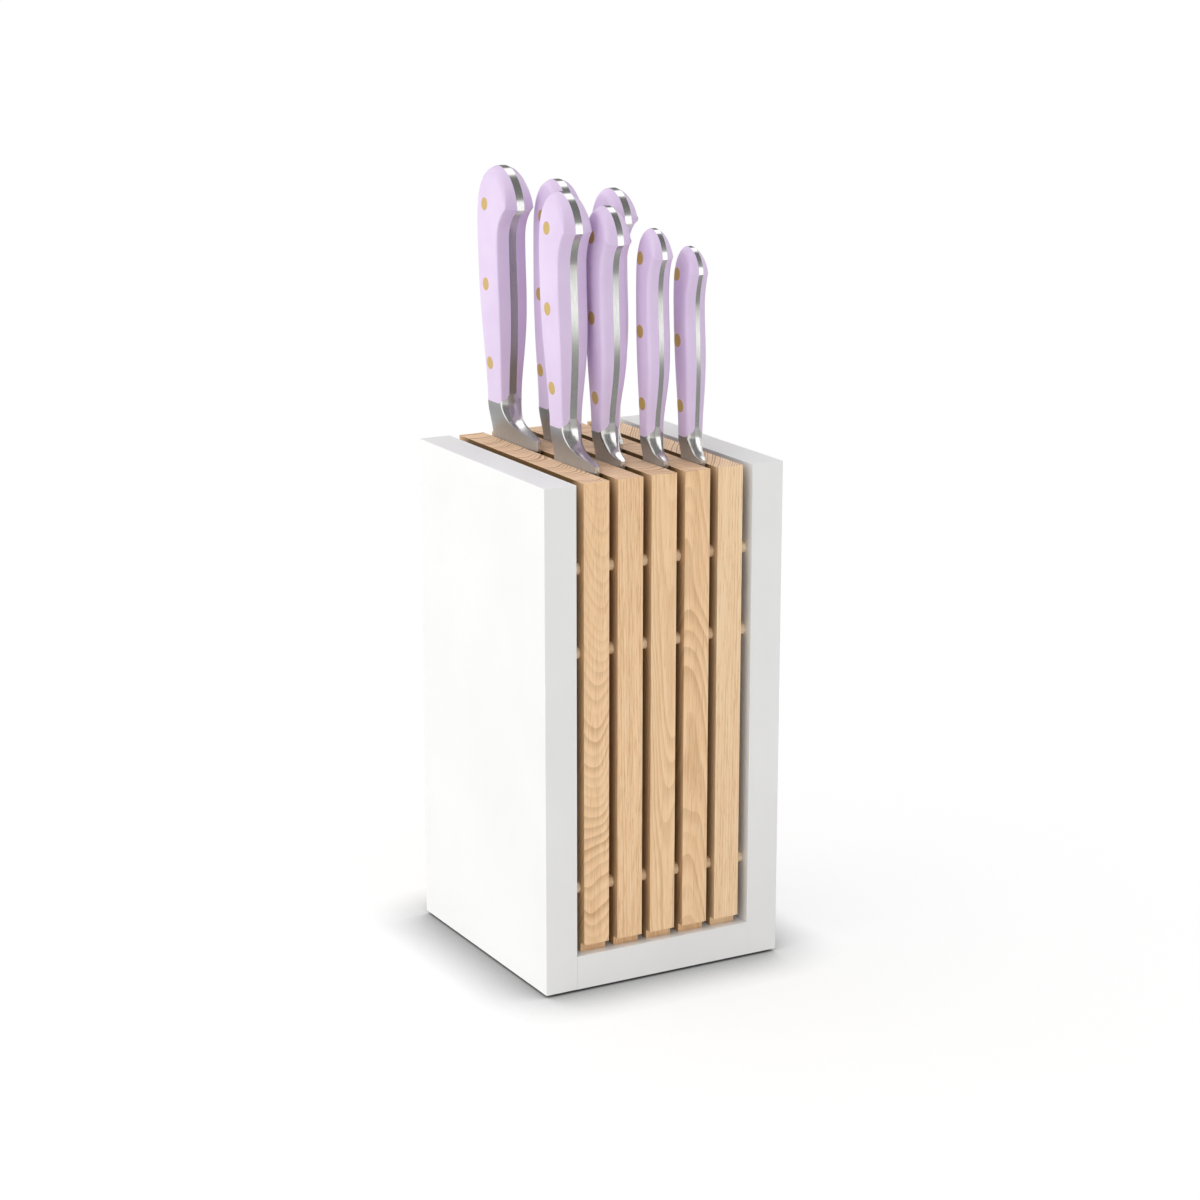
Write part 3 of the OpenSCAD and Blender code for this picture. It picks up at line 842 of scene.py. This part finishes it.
# ---------------------------------------------------------------------------
# The knives
# ---------------------------------------------------------------------------
def build_knives():
    plastic, pin = lilac(), brass()
    blade = steel("blade_satin_steel", (184, 186, 189), 0.26, (2600, 60, 4200), 0.1, 0.14)
    bolster = steel("bolster_polished", (214, 213, 211), 0.2, (2600, 2600, 200), 0.02, 0.05, metal=0.92)
    brushed = steel("bolster_brushed", (186, 188, 190), 0.3, (2200, 2200, 70), 0.08, 0.14, metal=0.7,
                    painted_dark=(BLOCK_TOP + PAINTED_DARK_FROM * MM, BLOCK_TOP + PAINTED_DARK_TO * MM))
    tang = steel("tang_steel", (198, 199, 196), 0.15, (2600, 2600, 60), 0.05, 0.08, metal=0.92)
    for k in KNIVES:
        rows = handle_rows(k)
        made = {
            "blade": (make_forging(k, rows, [blade, bolster, tang, brushed]), "blade_steel"),
            "left_scale": (make_scale(k, -1, rows, plastic), "lilac_scale"),
            "right_scale": (make_scale(k, 1, rows, plastic), "lilac_scale"),
            "rivets": (make_rivets(k, rows, pin), "rivet_brass"),
        }
        for part, (piece, slot) in made.items():
            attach(piece, k.name)
            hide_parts(f"{k.name}_{part}")


# ---------------------------------------------------------------------------
# Studio: pale floor, soft light, camera
# ---------------------------------------------------------------------------
AMBIENT = 0.44
# Broad light on matt surfaces: direction, strength and how closely it keeps to that direction
SKY_LIGHTS = (((-0.85, 0.15, 0.55), 1.06, 2), ((0, 0, 1), 0.7, 3))
# What polished steel mirrors: a grey room, and soft boxes as direction, width, soft edge and strength
ROOM = 0.22
SOFT_BOXES = (
    ((0.47, 0.4, 0.78), 9, 11, 2.4),
    ((0.5, -0.85, 0.08), 12, 8, 2.0),
    ((0.8, -0.5, 0.3), 12, 12, 1.7),
    ((-0.95, -0.1, 0.35), 24, 14, 1.0),
    ((0.95, 0.1, 0.3), 14, 22, 1.0),
    ((-0.3, 0.95, 0.3), 18, 24, 0.8),
)

# Half the floor's width, in metres
FLOOR_HALF = 30
# Reach (in metres) and depth of the painted shade on the floor beside the block, and how much of the
# block's wider cast shadow a painted glow lightens for the camera
SHADE_REACH, SHADE_POWER, FILL = 0.036, 1.3, 0.65
# The floor as polished steel mirrors it: each stretch from one place to another, and its strength at both.
# Back and front lie along Y and left along X; the front stretch fades in along X over FRONT_RIGHT
BACK_GLOW, FRONT_GLOW, LEFT_GLOW = (-0.6, 0.5, 0.42, 1), (-1.6, -2.6, 0, 1.2), (-0.35, -0.9, 0, 0.9)
FRONT_RIGHT = (0, 0.4)

LENS = 87.9
CAMERA_PLACE = (-0.680, -1.231, 0.5445)
CAMERA_TILT, CAMERA_TURN = 75.29, -28.96


def facing(t, ray, direction):
    """The cosine between the ray and a direction."""
    return t.dot(ray, tuple(Vector(direction).normalized()))


def soft_box(t, ray, direction, wide, edge, strength):
    """A round soft patch of light in the world, seen in that direction; wide and edge are in degrees."""
    inner, outer = math.cos(math.radians(wide)), math.cos(math.radians(wide + edge))
    patch = t.range(facing(t, ray, direction), outer, inner, kind="SMOOTHSTEP")
    return t.math("MULTIPLY", patch, strength)


def build_world():
    """A pale room for matt surfaces, a darker one with soft boxes for polished ones, white for the camera."""
    world = bpy.data.worlds.new("studio")
    bpy.context.scene.world = world
    t = Tree(world)
    ray = t.add("ShaderNodeTexCoord").outputs["Generated"]
    sky = AMBIENT
    for direction, strength, focus in SKY_LIGHTS:
        near = t.math("POWER", t.math("MAXIMUM", facing(t, ray, direction), 0.0), focus)
        sky = t.math("ADD", t.math("MULTIPLY", near, strength), sky)
    glow = ROOM
    for box in SOFT_BOXES:
        glow = t.math("ADD", soft_box(t, ray, *box), glow)
    plain = t.add("ShaderNodeBackground", {"Color": WHITE, "Strength": sky})
    mirrored = t.add("ShaderNodeBackground", {"Color": WHITE, "Strength": glow})
    white = t.add("ShaderNodeBackground", {"Color": WHITE, "Strength": 1.0})
    light_path = t.add("ShaderNodeLightPath").outputs
    both = t.mix(light_path["Is Glossy Ray"], plain, mirrored)
    shown = t.mix(light_path["Is Camera Ray"], both, white)
    t.add("ShaderNodeOutputWorld", {"Surface": shown.outputs[0]})


def floor_material():
    """White paper. Close to the block the camera sees painted shade on it, and over the block's cast shadow a
    painted glow; steel mirrors it as a glowing soft gradient instead.
    """
    made, t = new_material("floor_white")
    light_path = t.add("ShaderNodeLightPath").outputs
    seen_directly = light_path["Is Camera Ray"]
    # Painted shade on the floor near the block, seen only by the camera
    open_sky = t.add("ShaderNodeAmbientOcclusion", {"Distance": SHADE_REACH}, samples=8).outputs["AO"]
    closed = t.math("SUBTRACT", 1.0, t.math("POWER", open_sky, SHADE_POWER))
    bright = t.math("SUBTRACT", 1.0, t.math("MULTIPLY", closed, seen_directly))
    paper = t.add("ShaderNodeBsdfDiffuse", {"Color": bright})
    # A painted glow that lightens the block's cast shadow for the camera
    filled = t.add("ShaderNodeEmission", {"Color": bright, "Strength": 1.0})
    paper = t.mix(t.math("MULTIPLY", seen_directly, FILL), paper, filled)

    # The floor glows in a soft gradient where polished steel mirrors it, a painted light
    where = t.axes(t.place())
    back = t.range(where["Y"], *BACK_GLOW, kind="SMOOTHSTEP")
    front = t.range(where["Y"], *FRONT_GLOW, kind="SMOOTHSTEP")
    front_right = t.math("MULTIPLY", front, t.range(where["X"], *FRONT_RIGHT))
    left = t.range(where["X"], *LEFT_GLOW, kind="SMOOTHSTEP")
    glow = t.math("ADD", t.math("ADD", back, front_right), left)
    mirrored = t.add("ShaderNodeEmission", {"Color": (1, 1, 0.98, 1), "Strength": glow})
    both = t.mix(light_path["Is Glossy Ray"], paper, mirrored)
    t.add("ShaderNodeOutputMaterial", {"Surface": both.outputs[0]})
    return made


def build_floor():
    half = FLOOR_HALF
    mesh = bpy.data.meshes.new("floor")
    corners = [(-half, -half, 0), (half, -half, 0), (half, half, 0), (-half, half, 0)]
    mesh.from_pydata(corners, [], [(0, 1, 2, 3)])
    mesh.materials.append(floor_material())
    floor = bpy.data.objects.new("floor", mesh)
    bpy.context.scene.collection.objects.link(floor)


def build_camera():
    data = bpy.data.cameras.new("camera")
    data.lens = LENS
    camera = bpy.data.objects.new("camera", data)
    camera.location = CAMERA_PLACE
    camera.rotation_euler = (math.radians(CAMERA_TILT), 0, math.radians(CAMERA_TURN))
    bpy.context.scene.collection.objects.link(camera)
    bpy.context.scene.camera = camera


build_block()
build_knives()
build_world()
build_floor()
build_camera()
bpy.context.scene.view_settings.view_transform = "Standard"
